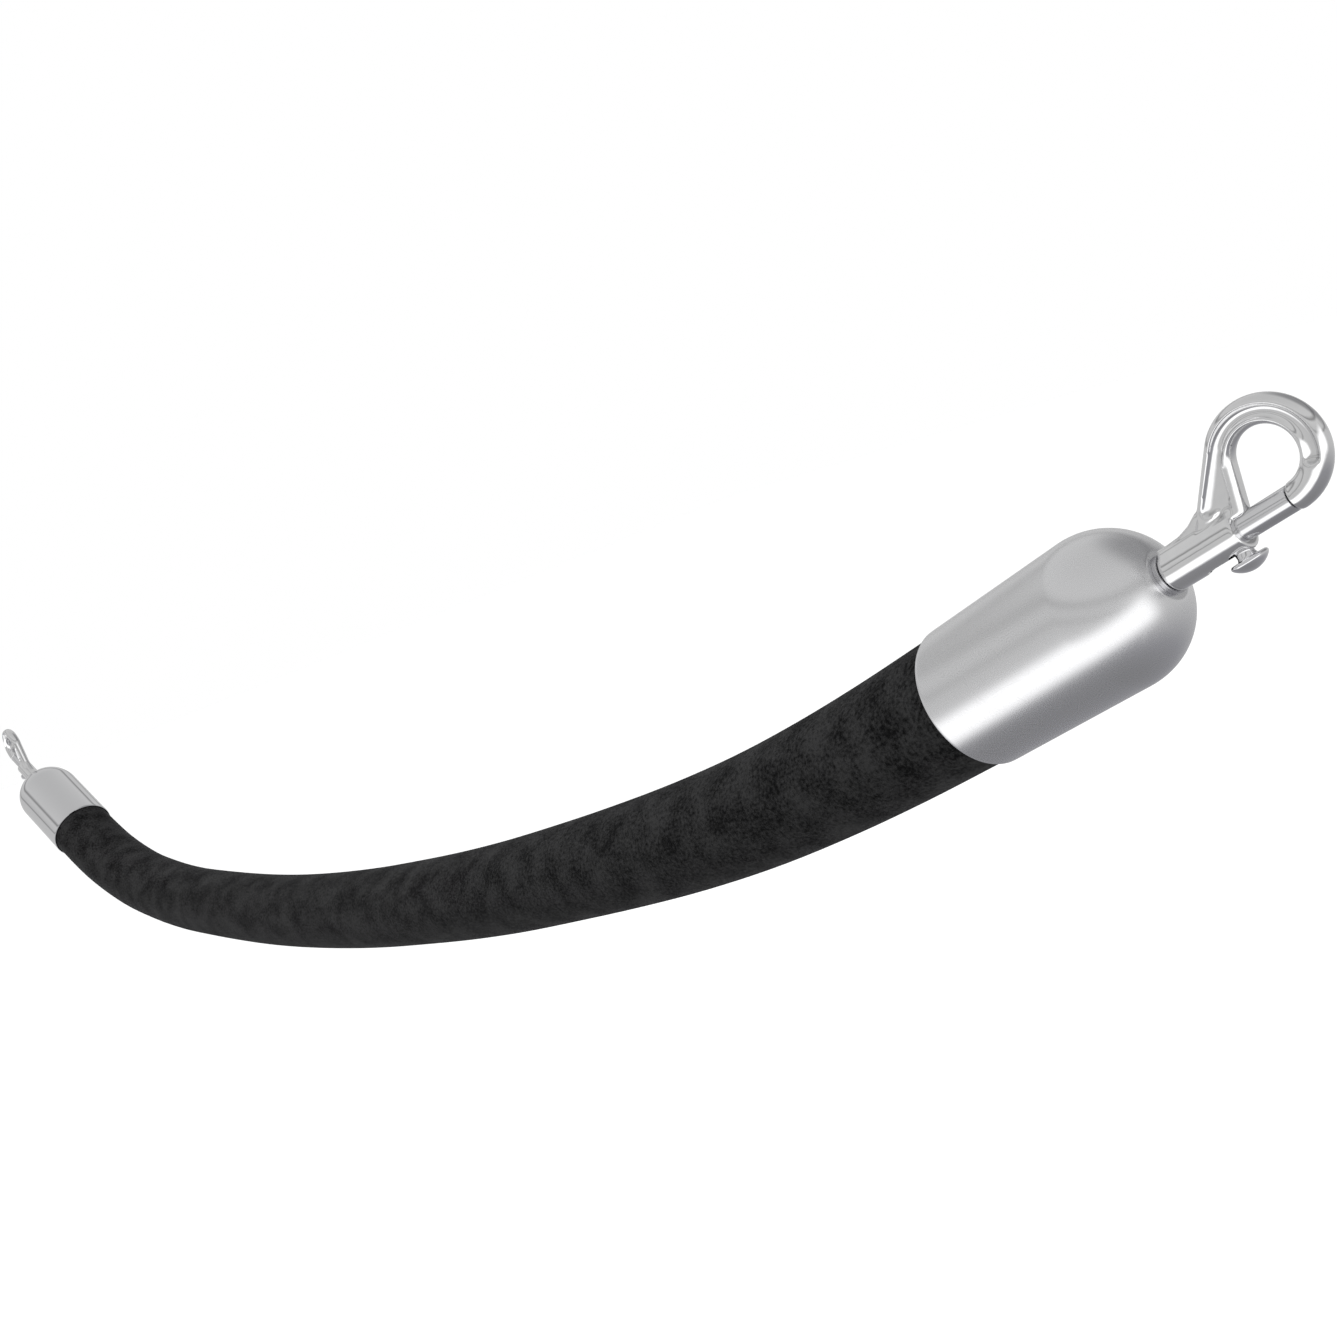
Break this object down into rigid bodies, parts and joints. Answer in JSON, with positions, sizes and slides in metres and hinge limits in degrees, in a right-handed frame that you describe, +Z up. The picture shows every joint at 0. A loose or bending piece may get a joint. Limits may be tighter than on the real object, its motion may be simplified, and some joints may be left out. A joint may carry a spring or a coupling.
{
  "type": "barrier rope",
  "caption": "Velvet-covered barrier rope hanging in a shallow curve, with a domed metal cap and a swivel snap hook with a sliding, sprung gate bolt at each end.",
  "frame": {"origin": "centre of the near hook's eye, which hangs level with the far hook's eye", "axes": "+Z up; the rope hangs in the XZ plane with its far end towards -X; Y is across the rope and is the hooks' thin way"},
  "size_m": [0.9658, 0.04, 0.153],
  "materials": {
    "velvet": "soft short nap, deep black",
    "core_foam": "closed-cell foam",
    "cap_steel": "satin to polished",
    "hook_chrome": "polished plating over a casting",
    "bolt_chrome": "polished",
    "washer_steel": "plain",
    "stud_steel": "plain",
    "spring_steel": "drawn wire",
    "dowel_wood": "turned, unfinished"
  },
  "bodies": {
    "rope": {"rope_core": "core_foam", "velvet_sleeve": "velvet", "near_end_cap": "cap_steel", "near_swivel_washer": "washer_steel", "near_swivel_stud": "stud_steel", "near_backing_washer": "washer_steel", "near_lock_nut": "stud_steel", "near_anchor_dowel": "dowel_wood", "far_end_cap": "cap_steel", "far_swivel_washer": "washer_steel", "far_swivel_stud": "stud_steel", "far_backing_washer": "washer_steel", "far_lock_nut": "stud_steel", "far_anchor_dowel": "dowel_wood"},
    "near_hook": {"near_snap_hook": "hook_chrome", "near_bolt_spring": "spring_steel"},
    "near_bolt": {"near_gate_bolt": "bolt_chrome", "near_thumb_knob": "bolt_chrome"},
    "far_hook": {"far_snap_hook": "hook_chrome", "far_bolt_spring": "spring_steel"},
    "far_bolt": {"far_gate_bolt": "bolt_chrome", "far_thumb_knob": "bolt_chrome"}
  },
  "joints": [
    {"name": "near_swivel", "type": "hinge", "parent": "rope", "child": "near_hook", "pos_m": [-0.09175, 0, -0.04414], "axis": [0.9397, 0, 0.342], "continuous": true},
    {"name": "near_bolt_slide", "type": "slide", "parent": "near_hook", "child": "near_bolt", "axis": [-0.9397, 0, -0.342], "range_m": [0, 0.008], "stiffness_N_per_m": 300, "springref_m": -0.004, "deforming": ["near_bolt_spring"]},
    {"name": "far_swivel", "type": "hinge", "parent": "rope", "child": "far_hook", "pos_m": [-0.86297, 0, -0.06772], "axis": [-0.809, 0, 0.5878], "continuous": true},
    {"name": "far_bolt_slide", "type": "slide", "parent": "far_hook", "child": "far_bolt", "axis": [0.809, 0, -0.5878], "range_m": [0, 0.008], "stiffness_N_per_m": 300, "springref_m": -0.004, "deforming": ["far_bolt_spring"]}
  ]
}
